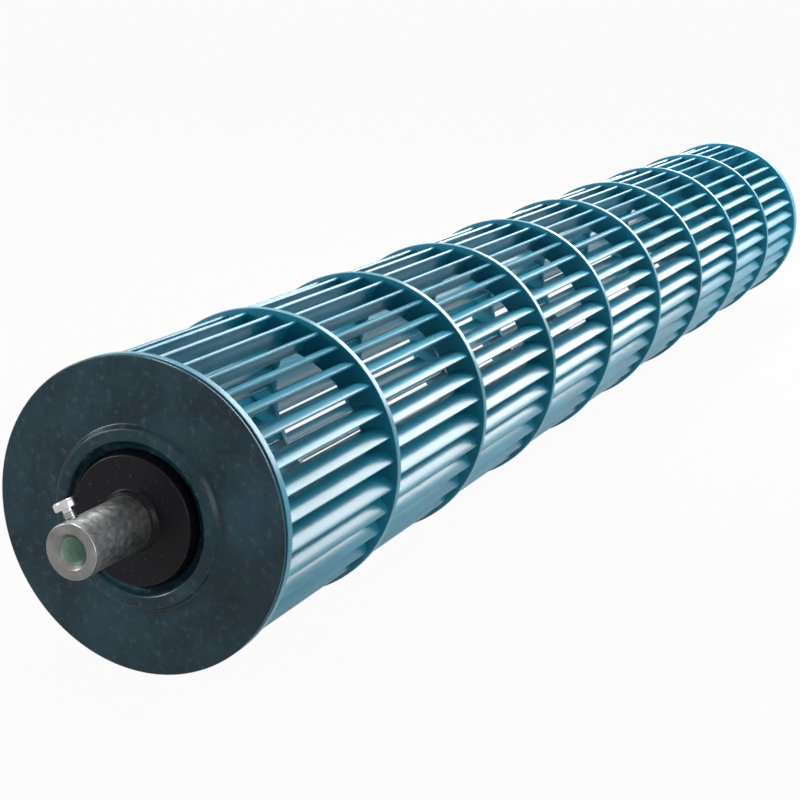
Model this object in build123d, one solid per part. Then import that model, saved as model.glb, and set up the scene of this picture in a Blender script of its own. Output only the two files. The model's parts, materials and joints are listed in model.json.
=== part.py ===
"""Cross flow fan wheel: a long drum of curved blades, clamped to a motor shaft through a rubber hub.

Frame: the wheel turns about +Y, +Z is up and the origin is on the axis, in the front end plate's
face. The motor end is at -Y and the end bearing at +Y. Angles run clockwise from straight up, as
seen from the motor end. All sizes are in millimetres.
"""
from build123d import *
import os
from math import acos, asin, cos, degrees, radians, sin, sqrt

# Drum
WHEEL_R = 49.0               # rings and both end plates
SECTIONS = 9                 # bladed mouldings welded end to end
SECTION_PITCH = 74.2         # one ring's front face to the next one's
RING_T = 2.7
RING_WALL = 11.6             # radial width of a ring

# Blades
BLADE_TIP_INSET = 1.1        # blade tips stand this far inside the rings' edge
BLADE_DEPTH = 9.3            # radial depth of a blade
BLADE_T = 1.2
BLADE_BACK_R = 8.7           # radius of the rounded back
BLADE_TIP_ANGLE = 32.5       # from the drum's tangent to the back, at the tip
BACK_FLAT_COUNT = 3          # flats that stand for the arc of the back
HOLLOW_FLAT_COUNT = 2        # and for that of the hollow side
FIRST_TIP_ANGLE = 107.7      # first blade tip of the first section
SECTION_TURN = -4.4          # each section is turned this much from the one before
# Uneven spacing breaks up the blades' hum: degrees from one blade to the next, brought to a full turn.
BLADE_SPACING = (
    9.9, 11.1, 9.7, 10.1, 11.5, 10.4, 9.3, 9.6, 10.6, 10.5, 11.7, 9.5,
    10.2, 9.4, 11.2, 10.8, 9.3, 10.0, 11.4, 9.8, 9.4, 10.9, 10.3, 9.2,
    11.3, 9.9, 10.5, 9.4, 10.7, 11.4, 9.6, 9.3, 10.6, 11.0, 9.8,
)

# Front end plate
PLATE_T = 2.4
RIM_EDGE_T = 1.3             # full-radius edge, in front of the weld groove
WELD_GROOVE = 1.0            # depth of the groove between this plate and the first ring
COLLAR_R = 28.4              # raised collar round the rubber, at its foot
COLLAR_H = 2.0
COLLAR_SLOPE = 1.0           # its wall leans in this much
COLLAR_LAND_R = 23.9         # inner edge of the collar's flat top
COLLAR_LIP_R = 22.6          # lip below the flat top
COLLAR_LIP_Y = -0.4          # height of the lip over the plate's face, +Y being inwards
COLLAR_SEAT_Y = 0.6          # foot of the bevel, where the rubber starts
SKIRT_R = 24.2               # skirt behind the plate
SKIRT_DEPTH = 10.0           # how far the skirt and the rubber reach into the drum

# Rubber damper
RUBBER_R = 20.7
RUBBER_PROUD = 3.5           # stands this far out of the plate
RUBBER_TAPER = 0.7           # its wall leans in this much
NECK_R = 9.65                # neck round the sleeve, at its foot
NECK_H = 1.7
NECK_TAPER = 0.75

# Hub sleeve
SLEEVE_R = 8.35
SLEEVE_REACH = 33.5          # how far it stands out of the plate
BORE_R = 4.0                 # 8 mm motor shaft
MOUTH_CHAMFER = 1.3
TAIL_CHAMFER = 0.5
SLEEVE_EDGE = 0.3            # broken outer edge
GRIP_R = 11.0                # flange that keys the sleeve into the rubber
GRIP_T = 3.0
GRIP_Y = 3.0                 # front of that flange

# Clamp screw, M4 with a pan head
SCREW_R = 2.0
SCREW_FIT = 0.05             # radial clearance in its hole
SCREW_LENGTH = 6.0           # under the head
SCREW_HEAD_R = 3.5
SCREW_HEAD_H = 2.6
SCREW_HEAD_ROUND = 0.9
SCREW_SETBACK = 6.5          # from the sleeve's front face
SCREW_ANGLE = -27.0
SCREW_OUT = 3.05             # gap under the head when it is backed out
RECESS_W = 0.9               # arms of the cross recess
RECESS_SPAN = 3.8
RECESS_DEPTH = 1.5

# Far end plate and stub shaft
FAR_WEB_T = 2.5
FAR_RIM_DEPTH = 6.5
FAR_RIM_WALL = 2.4
BOSS_R = 11.0
BOSS_INWARD = 10.0           # boss length inside the drum
BOSS_OUTWARD = 4.0           # and beyond the web
JOURNAL_R = 4.0              # 8 mm end bearing
SHAFT_REACH = 22.0           # beyond the boss
SHAFT_CHAMFER = 0.8
SHAFT_SEAT_R = 4.5           # thicker stretch that is pressed into the boss
RELIEF_W = 1.0               # grinding relief between that stretch and the journal
RELIEF_DEPTH = 0.3

# Worked out from the sizes above
FIRST_RING_Y = PLATE_T
FAR_PLATE_Y = FIRST_RING_Y + SECTIONS * SECTION_PITCH
WHEEL_END_Y = FAR_PLATE_Y + FAR_RIM_DEPTH
RING_INNER_R = WHEEL_R - RING_WALL
TIP_R = WHEEL_R - BLADE_TIP_INSET
BLADE_INNER_R = TIP_R - BLADE_DEPTH
SCREW_Y = -SLEEVE_REACH + SCREW_SETBACK
SCREW_SEAT_R = SLEEVE_R + SCREW_OUT


def across(y):
    """Plane across the wheel at y: its own x is +X, and turning in it is clockwise from the front."""
    return Plane(origin=(0, y, 0), x_dir=(1, 0, 0), z_dir=(0, 1, 0))


def turned(outline):
    """Turn a closed outline of (radius, y) points about the wheel's axis."""
    face = make_face(Polyline(*[(radius, y) for radius, y in outline], close=True))
    return revolve(face, Axis.Y)


def arc_points(centre, radius, start, end, flats):
    """Corners of the flats that stand for an arc, from start to end degrees."""
    step = (end - start) / flats
    angles = [radians(start + step * i) for i in range(flats + 1)]
    return [(centre[0] + radius * cos(a), centre[1] + radius * sin(a)) for a in angles]


def arc_end_angle(centre, radius, reach):
    """Angle at which an arc round centre, going clockwise, is only reach from the wheel's axis."""
    offset = sqrt(centre[0] ** 2 + centre[1] ** 2)
    opening = acos((reach**2 - offset**2 - radius**2) / (2 * offset * radius))
    return degrees(asin(centre[1] / offset) - opening)


def blade_outline():
    """One blade's section, its tip on the plane's own x axis: rounded back and hollow front."""
    lean = radians(BLADE_TIP_ANGLE)
    centre = (TIP_R - BLADE_BACK_R * cos(lean), BLADE_BACK_R * sin(lean))
    root = arc_end_angle(centre, BLADE_BACK_R, BLADE_INNER_R)
    back = arc_points(centre, BLADE_BACK_R, -BLADE_TIP_ANGLE, root, BACK_FLAT_COUNT)
    hollow = arc_points(centre, BLADE_BACK_R - BLADE_T, root, -BLADE_TIP_ANGLE, HOLLOW_FLAT_COUNT)
    return make_face(Polyline(*back, *hollow, close=True))


def blade_angles():
    """Tip angles of one section's blades, from the uneven spacing."""
    full_turn = 360 / sum(BLADE_SPACING)
    return [FIRST_TIP_ANGLE - full_turn * sum(BLADE_SPACING[:i]) for i in range(len(BLADE_SPACING))]


def bladed_section():
    """One moulding, standing on its ring: a flat ring with the blades rising from its back."""
    ring = extrude(Circle(WHEEL_R) - Circle(RING_INNER_R), RING_T)
    outline = blade_outline()
    # A tip angle counts from straight up, a quarter turn before the plane's own x axis.
    blades = [Rot(0, 0, angle - 90) * outline for angle in blade_angles()]
    root_z = RING_T / 2
    return ring + extrude(Pos(0, 0, root_z) * Sketch(blades), SECTION_PITCH - root_z)


def placed_section(section, index):
    """The same moulding in its place along the drum, turned on from the one before."""
    return across(FIRST_RING_Y + index * SECTION_PITCH) * Rot(0, 0, index * SECTION_TURN) * section


def front_end_plate():
    """Disc with a weld groove in its rim, a raised collar and a skirt that grip the rubber."""
    return turned([
        (WHEEL_R, 0),
        (WHEEL_R, RIM_EDGE_T),
        (WHEEL_R - WELD_GROOVE, RIM_EDGE_T),
        (WHEEL_R - WELD_GROOVE, PLATE_T),
        (SKIRT_R, PLATE_T),
        (SKIRT_R, SKIRT_DEPTH),
        (RUBBER_R, SKIRT_DEPTH),
        (RUBBER_R, COLLAR_SEAT_Y),
        (COLLAR_LIP_R, COLLAR_LIP_Y),
        (COLLAR_LAND_R, -COLLAR_H),
        (COLLAR_R - COLLAR_SLOPE, -COLLAR_H),
        (COLLAR_R, 0),
    ])


def grip_flange():
    """Flange that stops the sleeve from pulling out of the rubber."""
    inside = (SLEEVE_R + BORE_R) / 2
    return turned([
        (inside, GRIP_Y), (GRIP_R, GRIP_Y), (GRIP_R, GRIP_Y + GRIP_T), (inside, GRIP_Y + GRIP_T),
    ])


def rubber_damper():
    """Puck that stands proud of the collar, with a short neck round the sleeve."""
    front = -RUBBER_PROUD
    puck = turned([
        (SLEEVE_R, front - NECK_H),
        (NECK_R - NECK_TAPER, front - NECK_H),
        (NECK_R, front),
        (RUBBER_R - RUBBER_TAPER, front),
        (RUBBER_R, COLLAR_SEAT_Y),
        (RUBBER_R, SKIRT_DEPTH),
        (SLEEVE_R, SKIRT_DEPTH),
    ])
    return puck - grip_flange()


def screw_plane(radius):
    """Plane across the clamp screw's axis at a radius of the wheel, looking outwards."""
    angle = radians(SCREW_ANGLE)
    outward = Vector(sin(angle), 0, cos(angle))
    return Plane(origin=outward * radius + Vector(0, SCREW_Y, 0), x_dir=(0, 1, 0), z_dir=outward)


def hub_sleeve():
    """Steel tube, bored through for the motor shaft, with one radial hole for the clamp screw."""
    mouth = -SLEEVE_REACH
    tube = turned([
        (BORE_R + MOUTH_CHAMFER, mouth),
        (SLEEVE_R - SLEEVE_EDGE, mouth),
        (SLEEVE_R, mouth + SLEEVE_EDGE),
        (SLEEVE_R, SKIRT_DEPTH),
        (BORE_R + TAIL_CHAMFER, SKIRT_DEPTH),
        (BORE_R, SKIRT_DEPTH - TAIL_CHAMFER),
        (BORE_R, mouth + MOUTH_CHAMFER),
    ])
    screw_hole = extrude(screw_plane(0) * Circle(SCREW_R + SCREW_FIT), 2 * SLEEVE_R)
    return tube + grip_flange() - screw_hole


def clamp_screw():
    """Pan head screw, backed out so that its tip leaves the bore clear."""
    shank = extrude(screw_plane(SCREW_SEAT_R) * Circle(SCREW_R), -SCREW_LENGTH)
    head = extrude(screw_plane(SCREW_SEAT_R) * Circle(SCREW_HEAD_R), SCREW_HEAD_H)
    head = fillet(head.edges().sort_by_distance((0, SCREW_Y, 0))[-1], SCREW_HEAD_ROUND)
    cross = Rectangle(RECESS_SPAN, RECESS_W) + Rectangle(RECESS_W, RECESS_SPAN)
    recess = extrude(screw_plane(SCREW_SEAT_R + SCREW_HEAD_H) * cross, -RECESS_DEPTH)
    return shank + head - recess


def far_end_plate():
    """Dished disc with a rim, and a boss that holds the stub shaft."""
    web_back = FAR_PLATE_Y + FAR_WEB_T
    return turned([
        (WHEEL_R, FAR_PLATE_Y),
        (WHEEL_R, WHEEL_END_Y),
        (WHEEL_R - FAR_RIM_WALL, WHEEL_END_Y),
        (WHEEL_R - FAR_RIM_WALL, web_back),
        (BOSS_R, web_back),
        (BOSS_R, web_back + BOSS_OUTWARD),
        (SHAFT_SEAT_R, web_back + BOSS_OUTWARD),
        (SHAFT_SEAT_R, FAR_PLATE_Y - BOSS_INWARD),
        (BOSS_R, FAR_PLATE_Y - BOSS_INWARD),
        (BOSS_R, FAR_PLATE_Y),
    ])


def stub_shaft():
    """Steel pin pressed into the far boss, with a journal for the end bearing."""
    start = FAR_PLATE_Y - BOSS_INWARD
    shoulder = FAR_PLATE_Y + FAR_WEB_T + BOSS_OUTWARD
    end = shoulder + SHAFT_REACH
    return turned([
        (0, start),
        (SHAFT_SEAT_R, start),
        (SHAFT_SEAT_R, shoulder),
        (JOURNAL_R - RELIEF_DEPTH, shoulder),
        (JOURNAL_R - RELIEF_DEPTH, shoulder + RELIEF_W),
        (JOURNAL_R, shoulder + RELIEF_W),
        (JOURNAL_R, end - SHAFT_CHAMFER),
        (JOURNAL_R - SHAFT_CHAMFER, end),
        (0, end),
    ])


def write(name, solid):
    export_step(solid, os.path.join("parts", name + ".step"))


os.makedirs("parts", exist_ok=True)
write("front_end_plate", front_end_plate())
write("rubber_damper", rubber_damper())
write("hub_sleeve", hub_sleeve())
write("clamp_screw", clamp_screw())
moulding = bladed_section()
for i in range(SECTIONS):
    write(f"blade_section_{i + 1}", placed_section(moulding, i))
write("far_end_plate", far_end_plate())
write("stub_shaft", stub_shaft())
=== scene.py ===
# %% [markdown]
# # Cross flow fan wheel
# A cross flow fan moves air across a long, hollow drum of curved blades. The wheel here is a row of
# moulded sections between two flat end plates, carried at one end by a rubber-mounted steel sleeve
# that is clamped to a motor shaft, and at the other by a short steel stub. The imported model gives
# every place and size, and this file gives each piece its finished form and surface.

# %% Frame
import json
from math import acos, atan2, cos, hypot, pi, radians, sin

import bmesh
import bpy
from mathutils import Matrix, Vector


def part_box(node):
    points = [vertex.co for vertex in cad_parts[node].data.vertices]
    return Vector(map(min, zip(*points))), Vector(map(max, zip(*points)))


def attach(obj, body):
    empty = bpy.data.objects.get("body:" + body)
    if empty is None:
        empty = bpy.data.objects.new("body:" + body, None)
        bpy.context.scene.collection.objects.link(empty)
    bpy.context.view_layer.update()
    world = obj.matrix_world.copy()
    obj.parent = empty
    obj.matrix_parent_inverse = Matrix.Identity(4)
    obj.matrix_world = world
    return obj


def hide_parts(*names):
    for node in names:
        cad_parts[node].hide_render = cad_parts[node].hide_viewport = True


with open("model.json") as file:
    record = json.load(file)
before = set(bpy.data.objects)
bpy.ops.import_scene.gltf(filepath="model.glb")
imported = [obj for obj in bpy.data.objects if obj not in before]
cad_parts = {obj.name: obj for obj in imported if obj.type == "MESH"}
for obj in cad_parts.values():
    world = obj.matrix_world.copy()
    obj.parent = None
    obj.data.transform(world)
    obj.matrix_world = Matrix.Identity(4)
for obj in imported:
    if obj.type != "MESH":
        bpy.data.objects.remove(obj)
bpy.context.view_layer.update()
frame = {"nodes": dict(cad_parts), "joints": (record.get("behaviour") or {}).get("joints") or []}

# %% [markdown]
# ## Sizes
# The wheel turns about the Y axis, and the front end plate's face stands at y = 0. Radii and places
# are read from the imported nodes, so the pieces below stay on the solids if those change. The few
# named sizes are the small ones that a finished piece adds: edge rounds, threads and marks.

# %% Sizes read from the solids
MM = 0.001
NEAR = 0.02 * MM
AXIS = Vector((0, 1, 0))
SECTIONS = sorted((name for name in frame["nodes"] if name.startswith("blade_section_")),
                  key=lambda name: int(name.rsplit("_", 1)[1]))


def reach(node):
    """Where a node starts and ends along the wheel's axis."""
    low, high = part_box(node)
    return low.y, high.y


def corners(node, y):
    """The (radius, angle) of a node's corners at one place along the axis, clockwise from the top."""
    spots = {(round(hypot(v.co.x, v.co.z), 6), round(atan2(v.co.x, v.co.z), 5))
             for v in frame["nodes"][node].data.vertices if abs(v.co.y - y) < NEAR}
    return sorted(spots)


def steps_along(node):
    """The places along the axis where a node has corners, in order, near ones taken as one."""
    places = []
    for y in sorted(v.co.y for v in frame["nodes"][node].data.vertices):
        if not places or y - places[-1] > NEAR:
            places.append(y)
    return places


ring_front, ring_back = steps_along(SECTIONS[0])[0], steps_along(SECTIONS[0])[-2]
ring_thick = ring_back - ring_front
section_end = reach(SECTIONS[0])[1]
ring_corners = corners(SECTIONS[0], ring_front)
wheel_r, ring_inner_r = ring_corners[-1][0], ring_corners[0][0]
blade_corners = corners(SECTIONS[0], section_end)
tip_r = blade_corners[-1][0]
print("ring", round(ring_thick / MM, 2), "mm thick, radii", ring_inner_r, wheel_r,
      "blade tips at", tip_r)

# %% [markdown]
# ## View and light
# The wheel lies on its side with the motor end nearest. A long lens close to the motor end gives the
# strong taper along the drum. The camera is placed from where the plate's centre stands in its view:
# so far ahead, so far to the left and so far down. A wide lamp beyond the far end skims along the
# drum, and the near rings and the rounded backs of the blades throw it back as pale streaks. Small
# lamps above and to the left pick out the collar and the sleeve, and a soft one fills the right side.

# %% Camera
VIEW_TURN = radians(24.7)        # the drum runs away to the right of the view by this angle
VIEW_DOWN = radians(14.2)
LENS_MM = 77.0
PLATE_AHEAD = 503.1 * MM
PLATE_LEFT = 77.2 * MM
PLATE_BELOW = 34.7 * MM

right = Vector((cos(VIEW_TURN), sin(VIEW_TURN), 0))
ahead = Vector((-sin(VIEW_TURN) * cos(VIEW_DOWN), cos(VIEW_TURN) * cos(VIEW_DOWN), -sin(VIEW_DOWN)))
upward = right.cross(ahead)
camera = bpy.data.objects.new("camera", bpy.data.cameras.new("camera"))
camera.data.lens = LENS_MM
camera.data.sensor_width = 36
camera.data.clip_end = 50
turn = Matrix((right, upward, -ahead)).transposed().to_4x4()
eye = PLATE_LEFT * right + PLATE_BELOW * upward - PLATE_AHEAD * ahead
camera.matrix_world = Matrix.Translation(eye) @ turn
bpy.context.scene.collection.objects.link(camera)
bpy.context.scene.camera = camera
print("camera at", [round(v, 4) for v in camera.matrix_world.translation])

# %% Lamps


def lamp(name, place, aim, width, height, watts):
    """A rectangular lamp at a place, facing a point."""
    light = bpy.data.lights.new(name, "AREA")
    light.shape = "RECTANGLE"
    light.size, light.size_y = width, height
    light.energy = watts
    stand = bpy.data.objects.new(name, light)
    facing = (Vector(aim) - Vector(place)).to_track_quat("-Z", "Y")
    stand.matrix_world = Matrix.Translation(place) @ facing.to_matrix().to_4x4()
    bpy.context.scene.collection.objects.link(stand)
    print(name, watts, "W")


lamp("streak_lamp", (0.3, 0.95, 0.41), (0, 0.05, 0), 0.95, 0.5, 13)
lamp("top_lamp", (-0.30, 0.40, 1.05), (0, 0, 0), 0.25, 0.3, 13)
lamp("left_lamp", (-1.25, -0.75, 0.6), (0, 0, 0), 0.55, 0.3, 15)
lamp("side_lamp", (1.4, -0.1, 0.35), (0, 0.35, 0), 0.9, 0.9, 8)

# %% [markdown]
# The room and the floor are a plain white to the eye, and just as white in gloss and through tinted
# plastic, so metal and plastic show the background that stands behind them. Only the light that
# falls on the wheel from all round is dimmer. One small net of nodes tells the two apart: the largest
# of three ray marks is 1 wherever the background is seen, and 0 where it only lights something.

# %% Room
ROOM_LEVEL = 0.18                # light from all round


def where_seen(nodes, links):
    """A value that is 1 for rays from the eye, in gloss and through clear stuff, and 0 for others."""
    ray = nodes.new("ShaderNodeLightPath")
    seen = ray.outputs["Is Camera Ray"]
    for label in ("Is Transmission Ray", "Is Glossy Ray"):
        largest = nodes.new("ShaderNodeMath")
        largest.operation = "MAXIMUM"
        links.new(seen, largest.inputs[0])
        links.new(ray.outputs[label], largest.inputs[1])
        seen = largest.outputs["Value"]
    return seen


world = bpy.data.worlds.new("room")
world.use_nodes = True
bpy.context.scene.world = world
nodes, links = world.node_tree.nodes, world.node_tree.links
level = nodes.new("ShaderNodeMix")
level.inputs["A"].default_value = ROOM_LEVEL
level.inputs["B"].default_value = 1.0
links.new(where_seen(nodes, links), level.inputs["Factor"])
links.new(level.outputs["Result"], nodes["Background"].inputs["Strength"])
nodes["Background"].inputs["Color"].default_value = (1, 1, 1, 1)
bpy.context.scene.view_settings.view_transform = "Standard"
print("room lights at", ROOM_LEVEL, "and shows as 1")

# %% [markdown]
# The wheel lies on a wide, matt floor. Most of what is seen of it is a white glow, and the small rest
# is matt paint, which still takes the wheel's soft shadow.

# %% Floor
FLOOR_HALF = 60                  # metres, so that its edge is out of sight
FLOOR_GREY = 0.25
GLOW_SHARE = 0.95

floor_mesh = bpy.data.meshes.new("floor")
bm = bmesh.new()
bmesh.ops.create_grid(bm, x_segments=1, y_segments=1, size=FLOOR_HALF)
bmesh.ops.translate(bm, verts=bm.verts, vec=(0, 0, -wheel_r))
bm.to_mesh(floor_mesh)
bm.free()
floor = bpy.data.objects.new("floor", floor_mesh)
bpy.context.scene.collection.objects.link(floor)
floor_paint = bpy.data.materials.new("floor_paint")
floor_paint.use_nodes = True
nodes, links = floor_paint.node_tree.nodes, floor_paint.node_tree.links
matt = nodes["Principled BSDF"]
matt.inputs["Base Color"].default_value = (FLOOR_GREY, FLOOR_GREY, FLOOR_GREY, 1)
matt.inputs["Roughness"].default_value = 0.9
glow = nodes.new("ShaderNodeEmission")
veil = nodes.new("ShaderNodeMixShader")
share = nodes.new("ShaderNodeMath")
share.operation = "MULTIPLY"
share.inputs[1].default_value = GLOW_SHARE
links.new(where_seen(nodes, links), share.inputs[0])
links.new(share.outputs["Value"], veil.inputs["Fac"])
links.new(matt.outputs["BSDF"], veil.inputs[1])
links.new(glow.outputs["Emission"], veil.inputs[2])
links.new(veil.outputs["Shader"], nodes["Material Output"].inputs["Surface"])
floor_mesh.materials.append(floor_paint)
print("floor at", round(-wheel_r, 4))

# %% [markdown]
# ## Shared effects
# Moulded plastic and plated steel are never quite even: gloss changes in soft clouds where hands and
# the mould have touched, and fine streaks run the way the stuff flowed or was turned. Each effect is
# a group that gives only values which change over the surface, and each finish places it with its
# own sizes. The clouds come first: a noise whose middle range is spread between two values.

# %% Clouds


def effect_group(name, inputs, outputs):
    """An empty shader group with named value inputs and outputs."""
    group = bpy.data.node_groups.new(name, "ShaderNodeTree")
    for label, value in inputs:
        socket = group.interface.new_socket(label, in_out="INPUT", socket_type="NodeSocketFloat")
        socket.default_value = value
    for label in outputs:
        group.interface.new_socket(label, in_out="OUTPUT", socket_type="NodeSocketFloat")
    return group, group.nodes.new("NodeGroupInput"), group.nodes.new("NodeGroupOutput")


def cloud_group():
    """Soft clouds from low to high, about so many to the metre."""
    group, given, made = effect_group("clouds", [("Scale", 60), ("Low", 0.2), ("High", 0.4)], ["Value"])
    place = group.nodes.new("ShaderNodeTexCoord")
    noise = group.nodes.new("ShaderNodeTexNoise")
    noise.inputs["Detail"].default_value = 5
    noise.inputs["Roughness"].default_value = 0.6
    spread = group.nodes.new("ShaderNodeMapRange")
    spread.inputs["From Min"].default_value = 0.32
    spread.inputs["From Max"].default_value = 0.68
    group.links.new(place.outputs["Object"], noise.inputs["Vector"])
    group.links.new(given.outputs["Scale"], noise.inputs["Scale"])
    group.links.new(noise.outputs["Fac"], spread.inputs["Value"])
    group.links.new(given.outputs["Low"], spread.inputs["To Min"])
    group.links.new(given.outputs["High"], spread.inputs["To Max"])
    group.links.new(spread.outputs["Result"], made.inputs["Value"])
    return group


CLOUDS = cloud_group()
print("group:", CLOUDS.name)

# %% [markdown]
# Plastic flows along a blade as it is moulded, so its streaks run along the wheel. The noise's place
# is squeezed along Y before it is read, which draws every speck out into a line.

# %% Streaks


def streak_group():
    """Fine streaks along the wheel's axis: noise drawn out along Y."""
    group, given, made = effect_group("streaks", [("Scale", 300), ("Draw", 0.04)], ["Value"])
    place = group.nodes.new("ShaderNodeTexCoord")
    stretch = group.nodes.new("ShaderNodeCombineXYZ")
    stretch.inputs["X"].default_value = 1
    stretch.inputs["Z"].default_value = 1
    drawn = group.nodes.new("ShaderNodeVectorMath")
    drawn.operation = "MULTIPLY"
    noise = group.nodes.new("ShaderNodeTexNoise")
    noise.inputs["Detail"].default_value = 3
    group.links.new(given.outputs["Draw"], stretch.inputs["Y"])
    group.links.new(place.outputs["Object"], drawn.inputs[0])
    group.links.new(stretch.outputs["Vector"], drawn.inputs[1])
    group.links.new(drawn.outputs["Vector"], noise.inputs["Vector"])
    group.links.new(given.outputs["Scale"], noise.inputs["Scale"])
    group.links.new(noise.outputs["Fac"], made.inputs["Value"])
    return group


STREAKS = streak_group()
print("group:", STREAKS.name)

# %% [markdown]
# A lathe leaves fine rings. The noise is read at a distance from the axis and a place along it, and
# never at an angle round it, so each mark closes on itself.

# %% Turning marks


def turning_group():
    """Fine rings left by a lathe: they change along the axis and with the radius, never round it."""
    group, given, made = effect_group("turning", [("Scale", 5000)], ["Value"])
    place = group.nodes.new("ShaderNodeTexCoord")
    axes = group.nodes.new("ShaderNodeSeparateXYZ")
    flat = group.nodes.new("ShaderNodeCombineXYZ")
    radius = group.nodes.new("ShaderNodeVectorMath")
    radius.operation = "LENGTH"
    spot = group.nodes.new("ShaderNodeCombineXYZ")
    noise = group.nodes.new("ShaderNodeTexNoise")
    noise.inputs["Detail"].default_value = 2
    group.links.new(place.outputs["Object"], axes.inputs["Vector"])
    group.links.new(axes.outputs["X"], flat.inputs["X"])
    group.links.new(axes.outputs["Z"], flat.inputs["Z"])
    group.links.new(flat.outputs["Vector"], radius.inputs[0])
    group.links.new(radius.outputs["Value"], spot.inputs["X"])
    group.links.new(axes.outputs["Y"], spot.inputs["Y"])
    group.links.new(spot.outputs["Vector"], noise.inputs["Vector"])
    group.links.new(given.outputs["Scale"], noise.inputs["Scale"])
    group.links.new(noise.outputs["Fac"], made.inputs["Value"])
    return group


TURNING = turning_group()
print("group:", TURNING.name)

# %% [markdown]
# Four short helpers put the finishes together: one starts a material, one places an effect in it, one
# blends two colours by an effect, and one turns an effect into fine relief.

# %% Finish helpers
MOULD_RELIEF = 0.03 * MM         # the depth that a mould's texture leaves


def start_finish(name, **constants):
    """A new material with its main shader, and plain numbers set on that shader's own sockets."""
    finish = bpy.data.materials.new(name)
    finish.use_nodes = True
    shader = finish.node_tree.nodes["Principled BSDF"]
    for label, value in constants.items():
        shader.inputs[label.replace("_", " ")].default_value = value
    return finish, finish.node_tree, shader


def placed(tree, group, **values):
    """A shared effect in a material, with its own values."""
    node = tree.nodes.new("ShaderNodeGroup")
    node.node_tree = group
    for label, value in values.items():
        node.inputs[label].default_value = value
    return node.outputs["Value"]


def blended(tree, factor, first, second):
    """A colour between two, by a value. The first may be a colour that other nodes make."""
    node = tree.nodes.new("ShaderNodeMix")
    node.data_type = "RGBA"
    if isinstance(first, tuple):
        node.inputs["A"].default_value = (*first, 1)
    else:
        tree.links.new(first, node.inputs["A"])
    node.inputs["B"].default_value = (*second, 1)
    tree.links.new(factor, node.inputs["Factor"])
    return node.outputs["Result"]


def roughened(tree, shader, height, strength, depth):
    """Small relief on a surface, as a bump."""
    bump = tree.nodes.new("ShaderNodeBump")
    bump.inputs["Strength"].default_value = strength
    bump.inputs["Distance"].default_value = depth
    tree.links.new(height, bump.inputs["Height"])
    tree.links.new(bump.outputs["Normal"], shader.inputs["Normal"])


# %% [markdown]
# ## Tinted plastic
# The drum is moulded in a dark, clear-tinted plastic, stiffened with glass fibre. It is glossy, and
# deep blue-green where it is thin. A base colour that drifts between two blues under a clear coat
# gives that depth, and the streaks in its gloss follow the flow along each blade.

# %% Blade plastic
BLADE_DEEP = (0.005, 0.200, 0.300)
BLADE_LIGHT = (0.014, 0.320, 0.460)


def blade_plastic():
    finish, tree, shader = start_finish("blade_plastic", IOR=1.58, Specular_IOR_Level=0.35,
                                        Transmission_Weight=0.35, Coat_Weight=0.2, Coat_Roughness=0.15)
    tint = placed(tree, CLOUDS, Scale=35, Low=0.0, High=1.0)
    tree.links.new(blended(tree, tint, BLADE_DEEP, BLADE_LIGHT), shader.inputs["Base Color"])
    tree.links.new(placed(tree, CLOUDS, Scale=1500, Low=0.34, High=0.44), shader.inputs["Roughness"])
    roughened(tree, shader, placed(tree, STREAKS, Scale=3000, Draw=0.06), 0.03, MOULD_RELIEF)
    return finish


BLADE_PLASTIC = blade_plastic()
print("finish:", BLADE_PLASTIC.name)

# %% [markdown]
# The motor-end plate is the same plastic in one thick disc. Against the dark inside of the drum it
# reads as slate, with cloudy, handled gloss. Its two blues are far darker than the blades': partly the
# thick disc's own depth of colour and partly painted shade. Scuffs are paler spots laid over the two
# blues.

# %% Plate plastic
# The plate's two blues are partly painted shade, a darker copy of the blade plastic, and partly the
# thick disc's own depth of colour.
PLATE_DEEP_THICK_SHADED = (0.004, 0.024, 0.036)
PLATE_LIGHT_THICK_SHADED = (0.014, 0.055, 0.078)
PLATE_SCUFF = (0.10, 0.11, 0.13)


def plate_plastic():
    finish, tree, shader = start_finish("plate_plastic", IOR=1.55, Specular_IOR_Level=0.2)
    tint = placed(tree, CLOUDS, Scale=45, Low=-0.3, High=1.2)
    scuffed = placed(tree, CLOUDS, Scale=420, Low=-0.8, High=0.5)
    rubbed = blended(tree, scuffed, blended(tree, tint, PLATE_DEEP_THICK_SHADED, PLATE_LIGHT_THICK_SHADED), PLATE_SCUFF)
    tree.links.new(rubbed, shader.inputs["Base Color"])
    tree.links.new(placed(tree, CLOUDS, Scale=130, Low=0.14, High=0.4), shader.inputs["Roughness"])
    roughened(tree, shader, placed(tree, CLOUDS, Scale=1200, Low=0.0, High=1.0), 0.1, MOULD_RELIEF)
    return finish


PLATE_PLASTIC = plate_plastic()
print("finish:", PLATE_PLASTIC.name)

# %% [markdown]
# ## Rubber
# The damper is black rubber, nearly matt, with a few specks of dust. The specks are the rare tops of
# a cloud: its low value is far below zero, so all but the highest places stay black.

# %% Rubber
RUBBER_BLACK = (0.003, 0.0025, 0.004)
DUST_GREY = (0.10, 0.10, 0.11)


def damper_rubber():
    finish, tree, shader = start_finish("damper_rubber", Specular_IOR_Level=0.15)
    dust = placed(tree, CLOUDS, Scale=1000, Low=-5.5, High=0.6)
    tree.links.new(blended(tree, dust, RUBBER_BLACK, DUST_GREY), shader.inputs["Base Color"])
    tree.links.new(placed(tree, CLOUDS, Scale=300, Low=0.28, High=0.42), shader.inputs["Roughness"])
    roughened(tree, shader, placed(tree, CLOUDS, Scale=2500, Low=0.0, High=1.0), 0.1, MOULD_RELIEF)
    return finish


RUBBER = damper_rubber()
print("finish:", RUBBER.name)

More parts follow.
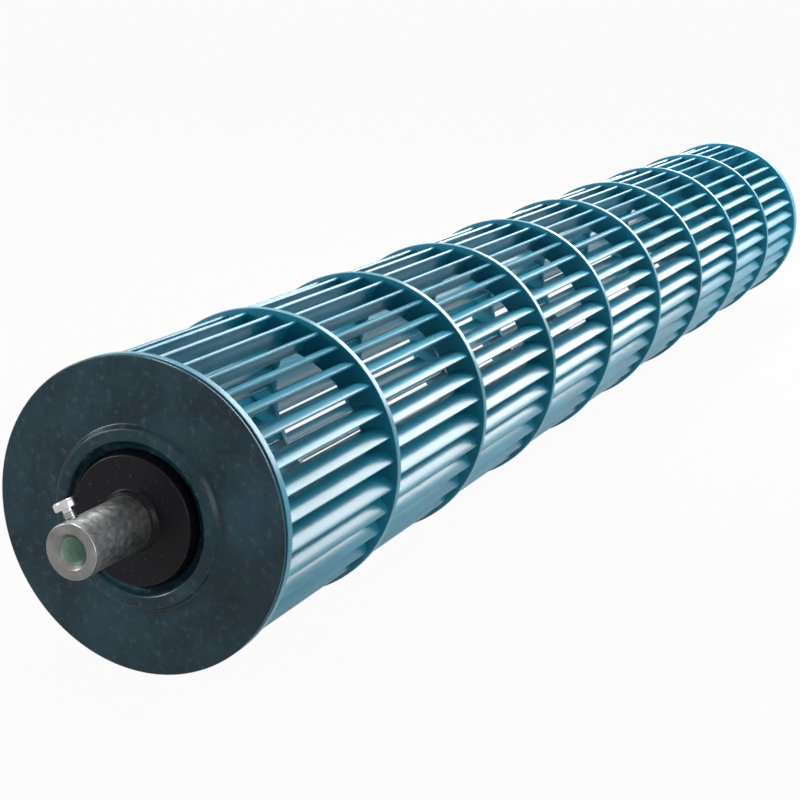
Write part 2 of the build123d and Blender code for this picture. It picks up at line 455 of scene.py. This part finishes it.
# %% [markdown]
# ## Steel
# The sleeve, screw and shaft are plated steel: fully metallic, with the gloss broken by clouds and by
# the marks of the lathe. The sleeve's end face is a darker copy of its steel, painted shade that dims
# the reflection the end shows. Its bore is painted a pale green, partly metallic and lighter than the
# steel: painted light that stands in for the light seen down the bore.

# %% Steel
# The bore's two colours are painted light: a pale green that stands in for the light seen down the
# bore.
BORE_PAINTED_GREEN = (0.45, 0.66, 0.58)
BORE_PAINTED_PALE = (0.80, 0.95, 0.90)
LATHE_RELIEF = 0.05 * MM


def plated_steel(name, bright, dull, low, high, marks):
    """Turned steel between two tones and two roughnesses, with lathe marks of a given strength."""
    finish, tree, shader = start_finish(name, Metallic=1.0)
    tree.links.new(blended(tree, placed(tree, CLOUDS, Scale=180, Low=0.0, High=1.0), bright, dull),
                   shader.inputs["Base Color"])
    tree.links.new(placed(tree, CLOUDS, Scale=500, Low=low, High=high), shader.inputs["Roughness"])
    roughened(tree, shader, placed(tree, TURNING, Scale=2500), marks, LATHE_RELIEF)
    return finish


# Painted light: the bore is made pale and partly diffuse so that it looks lit inside.
def bore_painted_light():
    finish, tree, shader = start_finish("bore_painted_light", Metallic=0.25)
    painted_glow = placed(tree, CLOUDS, Scale=350, Low=0.0, High=1.0)
    tree.links.new(blended(tree, painted_glow, BORE_PAINTED_GREEN, BORE_PAINTED_PALE), shader.inputs["Base Color"])
    tree.links.new(placed(tree, CLOUDS, Scale=900, Low=0.3, High=0.5), shader.inputs["Roughness"])
    return finish


SLEEVE_STEEL = plated_steel("sleeve_steel", (0.62, 0.61, 0.60), (0.36, 0.37, 0.36), 0.29, 0.41, 0.8)
# The end face's steel is a darker copy of the sleeve's: painted shade that dims the reflection it
# shows.
SHADED_END_STEEL = plated_steel("shaded_end_steel", (0.24, 0.24, 0.23), (0.14, 0.145, 0.14), 0.28, 0.38, 0.6)
BORE_STEEL = bore_painted_light()
SCREW_STEEL = plated_steel("screw_steel", (0.55, 0.55, 0.56), (0.4, 0.4, 0.41), 0.14, 0.26, 0.1)
SHAFT_STEEL = plated_steel("shaft_steel", (0.6, 0.6, 0.61), (0.5, 0.5, 0.52), 0.2, 0.35, 0.5)
for steel in (SLEEVE_STEEL, SHADED_END_STEEL, BORE_STEEL, SCREW_STEEL, SHAFT_STEEL):
    print("finish:", steel.name)

# %% [markdown]
# ## Making pieces
# Nearly every piece of a wheel is turned, so most start as an outline of a few corners beside the
# axis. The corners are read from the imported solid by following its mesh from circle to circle, and
# each is rounded with a vertex bevel.

# %% Outlines
WHOLE_CIRCLE = 8                 # corners that a turned circle has at least
EDGE_SHARE = 0.4                 # a round takes no more than this of its shortest edge


def outline_of(node):
    """A turned node's (radius, y) corners in order. A solid one starts and ends on the axis."""
    mesh = frame["nodes"][node].data
    spots = [(round(hypot(v.co.x, v.co.z), 5), round(v.co.y, 5)) for v in mesh.vertices]
    circles = {spot for spot in set(spots) if spots.count(spot) >= WHOLE_CIRCLE}
    nearby = {}
    for edge in mesh.edges:
        one, other = (spots[i] for i in edge.vertices)
        if one != other and one in circles and other in circles:
            nearby.setdefault(one, set()).add(other)
            nearby.setdefault(other, set()).add(one)
    ends = sorted(spot for spot, others in nearby.items() if len(others) == 1)
    path = [ends[0] if ends else max(nearby)]
    while True:
        onward = sorted(nearby[path[-1]] - set(path))
        if not onward:
            break
        path.append(onward[0])
    return [(0.0, path[0][1]), *path, (0.0, path[-1][1])] if ends else path


def rounded(outline, rounding):
    """An outline's points with every corner off the axis rounded, less where an edge is short."""
    flat = bmesh.new()
    verts = [flat.verts.new((radius, y, 0)) for radius, y in outline]
    flat.faces.new(verts)
    rounds = []
    for vert in verts:
        shortest = min(edge.calc_length() for edge in vert.link_edges)
        rounds.append(min(rounding, EDGE_SHARE * shortest) if vert.co.x > NEAR else 0)
    for vert, size in zip(verts, rounds):
        if size:
            bmesh.ops.bevel(flat, geom=[vert], offset=size, offset_type="OFFSET", segments=3,
                            profile=0.5, affect="VERTICES", material=-1)
    flat.faces.ensure_lookup_table()
    points = [v.co.copy() for v in flat.faces[0].verts]
    flat.free()
    return points


print("damper outline:", [(round(r / MM, 1), round(y / MM, 1)) for r, y in outline_of("rubber_damper")])

# %% [markdown]
# The outline is spun a full turn. Sharp edges stay only where two faces meet at a steep angle and no
# round is wanted, and large faces set the shading, so that flat ones look flat.

# %% Turning and finishing pieces
SPIN_STEPS = 144
SHARP = radians(45)              # steeper edges than this stay sharp
FACE_WEIGHT = 100                # the most that a large face can outweigh a small one


def turn_round(bm, points, steps=SPIN_STEPS):
    """Spin a closed outline a full turn about the wheel's axis."""
    verts = [bm.verts.new(point) for point in points]
    edges = [bm.edges.new(pair) for pair in zip(verts, verts[1:] + verts[:1])
             if pair[0].co.x > NEAR or pair[1].co.x > NEAR]
    bmesh.ops.spin(bm, geom=[*verts, *edges], cent=(0, 0, 0), axis=AXIS, dvec=(0, 0, 0),
                   angle=2 * pi, steps=steps, use_merge=True)
    on_axis = [v for v in bm.verts if hypot(v.co.x, v.co.z) < NEAR]
    bmesh.ops.remove_doubles(bm, verts=on_axis, dist=1e-7)


def finish_piece(name, bm, body, node, finish):
    """Make the mesh an object that rides on its body and stands for its solid."""
    bmesh.ops.recalc_face_normals(bm, faces=bm.faces)
    mesh = bpy.data.meshes.new(name)
    bm.to_mesh(mesh)
    bm.free()
    mesh.shade_smooth()
    mesh.set_sharp_from_angle(angle=SHARP)
    mesh.materials.append(finish)
    piece = bpy.data.objects.new(name, mesh)
    bpy.context.scene.collection.objects.link(piece)
    evened = piece.modifiers.new("flat faces stay flat", "WEIGHTED_NORMAL")
    evened.keep_sharp = True
    evened.weight = FACE_WEIGHT
    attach(piece, body)
    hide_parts(node)
    print(name, len(mesh.polygons), "faces")
    return piece


def turned_piece(name, node, rounding, finish):
    """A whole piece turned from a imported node's own outline."""
    bm = bmesh.new()
    turn_round(bm, rounded(outline_of(node), rounding))
    return finish_piece(name, bm, "wheel", node, finish)


# %% [markdown]
# ## Bladed sections
# Each section is one moulding: a flat ring with the blades rising from its back to the next ring. A
# blade's back is an arc that leaves the rim at a lean and turns to point at the axis, and the hollow
# side runs parallel to it. A short line across the wall is spun along the arc, the strip is pushed
# out to the blade's length, and its long edges are rounded.

# %% Blade
BACK_R = 8.7 * MM
WALL = 1.2 * MM
TIP_LEAN = radians(32.5)         # between the back and the rim's tangent, at the tip
EDGE_ROUND = 0.4 * MM
ARC_STEPS = 8
CORNER = radians(60)             # the wall's own corners are steeper than this, its arc's steps not
root_r = min(radius for radius, _ in blade_corners)
arc_centre = Vector((tip_r - BACK_R * cos(TIP_LEAN), 0, -BACK_R * sin(TIP_LEAN)))
reach_cos = (root_r**2 - arc_centre.length_squared - BACK_R**2) / (2 * arc_centre.length * BACK_R)
ARC_TURN = TIP_LEAN + atan2(-arc_centre.z, arc_centre.x) - acos(reach_cos)


def blade(start, end):
    """One blade, its tip a quarter turn from the top, between two places along the axis."""
    bm = bmesh.new()
    tip = Vector((tip_r, start, 0))
    centre = arc_centre + Vector((0, start, 0))
    line = [bm.verts.new(tip), bm.verts.new(tip + (centre - tip).normalized() * WALL)]
    wall = bm.edges.new(line)
    bmesh.ops.spin(bm, geom=[*line, wall], cent=centre, axis=AXIS, dvec=(0, 0, 0), angle=ARC_TURN,
                   steps=ARC_STEPS, use_merge=False)
    pushed = bmesh.ops.extrude_face_region(bm, geom=list(bm.faces))
    bmesh.ops.translate(bm, verts=[g for g in pushed["geom"] if isinstance(g, bmesh.types.BMVert)],
                        vec=(0, end - start, 0))
    bmesh.ops.recalc_face_normals(bm, faces=bm.faces)
    long_edges = [e for e in bm.edges if abs(e.verts[0].co.y - e.verts[1].co.y) > NEAR
                  and e.calc_face_angle(0) > CORNER]
    bmesh.ops.bevel(bm, geom=long_edges, offset=EDGE_ROUND, offset_type="OFFSET", segments=2,
                    profile=0.5, affect="EDGES", material=-1)
    return bm


print("a blade's arc turns through", round(ARC_TURN * 180 / pi, 1), "degrees")

# %% [markdown]
# The blades stand at uneven spacing, which breaks up the note that an even fan would whistle. Each
# copy of the one blade is turned to a tip that the solid has.

# %% Bladed sections
RING_ROUND = 0.25 * MM


def bladed_section(node):
    """One moulding: its ring, and a blade at every tip that the solid has."""
    start, end = reach(node)
    ring = [(ring_inner_r, start), (wheel_r, start), (wheel_r, start + ring_thick),
            (ring_inner_r, start + ring_thick)]
    bm = bmesh.new()
    turn_round(bm, rounded(ring, RING_ROUND))
    pattern = blade(start + ring_thick / 2, end)
    tips = [angle for radius, angle in corners(node, end) if abs(radius - tip_r) < NEAR]
    for angle in tips:
        one = bpy.data.meshes.new("one")
        pattern.to_mesh(one)
        one.transform(Matrix.Rotation(angle - pi / 2, 4, "Y"))
        bm.from_mesh(one)
        bpy.data.meshes.remove(one)
    pattern.free()
    return bm, len(tips)


counts = []
for number, node in enumerate(SECTIONS, 1):
    section, count = bladed_section(node)
    counts.append(count)
    finish_piece(f"fan_section_{number}", section, "wheel", node, BLADE_PLASTIC)
print("blades in each section:", counts)

# %% [markdown]
# ## End plates, damper and shaft
# The motor-end plate is a thick disc with a weld groove in its rim, and a raised collar that grips the
# rubber. The far plate is dished, with a rim. All are turned from their solids' own corners.

# %% Turned pieces
PLATE_ROUND = 0.55 * MM
FAR_PLATE_ROUND = 0.5 * MM
DAMPER_ROUND = 0.5 * MM
SHAFT_ROUND = 0.15 * MM
turned_piece("motor_end_plate", "front_end_plate", PLATE_ROUND, PLATE_PLASTIC)
turned_piece("far_plate", "far_end_plate", FAR_PLATE_ROUND, BLADE_PLASTIC)
turned_piece("damper", "rubber_damper", DAMPER_ROUND, RUBBER)
turned_piece("end_shaft", "stub_shaft", SHAFT_ROUND, SHAFT_STEEL)

# %% [markdown]
# ## Sleeve and clamp screw
# The sleeve is a steel tube with a wide bevel at its mouth. The clamp screw is a small pan head screw
# that crosses its wall. Both have parts cut out of them, the sleeve its hole and the screw its recess,
# and one helper does that with a solid and a tool.

# %% Cutting


def cut_away(solid, tool):
    """Take one closed mesh away from another. Both are used up."""
    parts = []
    for bm in (solid, tool):
        bmesh.ops.recalc_face_normals(bm, faces=bm.faces)
        mesh = bpy.data.meshes.new("cut")
        bm.to_mesh(mesh)
        bm.free()
        parts.append(bpy.data.objects.new("cut", mesh))
        bpy.context.scene.collection.objects.link(parts[-1])
    cut = parts[0].modifiers.new("cut", "BOOLEAN")
    cut.operation = "DIFFERENCE"
    cut.use_self = True
    cut.object = parts[1]
    left = bmesh.new()
    left.from_object(parts[0], bpy.context.evaluated_depsgraph_get())
    for part in parts:
        bpy.data.meshes.remove(part.data)
    print("cut leaves", len(left.faces), "faces")
    return left


# %% [markdown]
# The screw is built standing on its own axis, and then tipped into place. That axis, and the heights
# of the tip, the seat under the head and the top, are read from its solid.

# %% Screw sizes read from the solid
HEAD_IS_WIDER = 1.2              # corners this many shank radii out belong to the head
screw_in = frame["joints"][0]
outward = -Vector(screw_in["axis"]).normalized()
screw_low, screw_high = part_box("clamp_screw")
screw_y = (screw_low.y + screw_high.y) / 2
HEAD_R = (screw_high.y - screw_low.y) / 2
screw_spots = []                 # (distance from the screw's axis, height out from the wheel's)
for v in frame["nodes"]["clamp_screw"].data.vertices:
    height = v.co.dot(outward)
    screw_spots.append(((v.co - outward * height - Vector((0, screw_y, 0))).length, height))
tip_height = min(height for _, height in screw_spots)
top_height = max(height for _, height in screw_spots)
shank_r = max(radius for radius, height in screw_spots if abs(height - tip_height) < NEAR)
seat_height = min(height for radius, height in screw_spots if radius > HEAD_IS_WIDER * shank_r)
# Stands a thing built about +Y on the screw's own axis.
TIPPED = Matrix.Translation((0, screw_y, 0)) @ Matrix((
    Vector((0, 1, 0)), outward, Vector((0, 1, 0)).cross(outward))).transposed().to_4x4()
print("screw radius", round(shank_r / MM, 2), "head", round(HEAD_R / MM, 2), "heights",
      [round(h / MM, 2) for h in (tip_height, seat_height, top_height)])

# %% [markdown]
# The hole is drilled straight out through the sleeve's wall, on the screw's axis. Three steels then
# share the sleeve: the plated wall, the bore in its painted pale light and the end face in its darker,
# painted shade.

# %% Sleeve
HOLE_FIT = 0.05 * MM
HOLE_STEPS = 48
SLEEVE_ROUND = 0.12 * MM
DRILL_LENGTH = 3 * seat_height   # well past the wall
END_DEPTH = 2 * MM               # faces further back than this are not the faced end
END_FACING = -0.5                # the end's faces point this far out along the axis, or more


def sleeve():
    bm = bmesh.new()
    turn_round(bm, rounded(outline_of("hub_sleeve"), SLEEVE_ROUND))
    drill = bmesh.new()
    hole_r = shank_r + HOLE_FIT
    turn_round(drill, [Vector(p) for p in ((0, 0, 0), (hole_r, 0, 0), (hole_r, DRILL_LENGTH, 0),
                                           (0, DRILL_LENGTH, 0))], HOLE_STEPS)
    drill.transform(TIPPED)
    return cut_away(bm, drill)


motor_sleeve = finish_piece("motor_sleeve", sleeve(), "wheel", "hub_sleeve",
                            SLEEVE_STEEL)
sleeve_outline = outline_of("hub_sleeve")
bore_r = min(radius for radius, _ in sleeve_outline)
front_y = min(y for _, y in sleeve_outline)
in_bore = [face for face in motor_sleeve.data.polygons
           if hypot(face.center.x, face.center.z) < bore_r + NEAR]
at_end = [face for face in motor_sleeve.data.polygons
          if face.center.y < front_y + END_DEPTH and face.normal.y < END_FACING]
for finish, faces in ((BORE_STEEL, in_bore), (SHADED_END_STEEL, at_end)):
    motor_sleeve.data.materials.append(finish)
    for face in faces:
        face.material_index = len(motor_sleeve.data.materials) - 1
print(len(in_bore), "faces of the sleeve are its bore,", len(at_end), "its faced end")

# %% [markdown]
# The thread is a small ridge spun up the shank, a little higher at each step, and closed at both ends.

# %% Thread
PITCH = 0.7 * MM
THREAD_DEPTH = 0.43 * MM
THREAD_STEPS = 24
RIDGE_FOOT = (0.14, 0.86)        # shares of the pitch
RIDGE_CREST = (0.44, 0.56)
RIDGE_SUNK = 0.1 * MM


def thread(bm, start, end):
    """A ridge wound up the shank, between two heights."""
    turns = int((end - start) / PITCH) - 1
    root = shank_r - THREAD_DEPTH
    (foot, foot_end), (crest, crest_end) = RIDGE_FOOT, RIDGE_CREST
    ridge = [(root, foot), (shank_r, crest), (shank_r, crest_end), (root, foot_end),
             (root - RIDGE_SUNK, foot_end), (root - RIDGE_SUNK, foot)]
    verts = [bm.verts.new((radius, start + part * PITCH, 0)) for radius, part in ridge]
    face = bm.faces.new(verts)
    bmesh.ops.spin(bm, geom=[face, *face.edges, *verts], cent=(0, 0, 0), axis=AXIS,
                   dvec=(0, PITCH / THREAD_STEPS, 0), angle=2 * pi * turns,
                   steps=THREAD_STEPS * turns, use_merge=False)
    print("thread:", turns, "turns of", round(PITCH / MM, 2), "mm")


# %% [markdown]
# The head is turned, and a cross of two tapered bars is cut from its top.

# %% Clamp screw
SHANK_STEPS = 32
HEAD_STEPS = 48
HEAD_ARC_STEPS = 6
TIP_BEVEL = 0.4 * MM
NECK = 0.1 * MM                  # how far the shank runs on into the head
HEAD_EDGE = 0.25 * MM
HEAD_ROUND = 0.9 * MM
RECESS_SPAN = 3.8 * MM
RECESS_W = 0.9 * MM
RECESS_DEPTH = 1.5 * MM
RECESS_FOOT = 0.72               # how wide a bar is at its foot, as a share of its top


def clamp_screw():
    core_r = shank_r - THREAD_DEPTH
    bm = bmesh.new()
    turn_round(bm, [Vector(p) for p in (
        (0, tip_height, 0), (core_r - TIP_BEVEL, tip_height, 0), (core_r, tip_height + TIP_BEVEL, 0),
        (core_r, seat_height + NECK, 0), (0, seat_height + NECK, 0))], SHANK_STEPS)
    thread(bm, tip_height + TIP_BEVEL, seat_height)
    head = bmesh.new()
    edge = [(0, seat_height), (HEAD_R - HEAD_EDGE, seat_height), (HEAD_R, seat_height + HEAD_EDGE)]
    for i in range(HEAD_ARC_STEPS + 1):
        around = radians(90 / HEAD_ARC_STEPS * i)
        edge.append((HEAD_R - HEAD_ROUND * (1 - cos(around)),
                     top_height - HEAD_ROUND * (1 - sin(around))))
    turn_round(head, [Vector((*p, 0)) for p in (*edge, (0, top_height))], HEAD_STEPS)
    cross = bmesh.new()
    for across, along in ((RECESS_SPAN, RECESS_W), (RECESS_W, RECESS_SPAN)):
        bar = bmesh.ops.create_cube(cross, size=1)["verts"]
        for v in bar:
            narrowed = 1.0 if v.co.y > 0 else RECESS_FOOT
            v.co = Vector((v.co.x * across * narrowed, top_height + v.co.y * 2 * RECESS_DEPTH,
                           v.co.z * along * narrowed))
    cut = cut_away(head, cross)
    mesh = bpy.data.meshes.new("head")
    cut.to_mesh(mesh)
    cut.free()
    bm.from_mesh(mesh)
    bpy.data.meshes.remove(mesh)
    bm.transform(TIPPED)
    return bm


finish_piece("pan_screw", clamp_screw(), "clamp_screw", "clamp_screw", SCREW_STEEL)
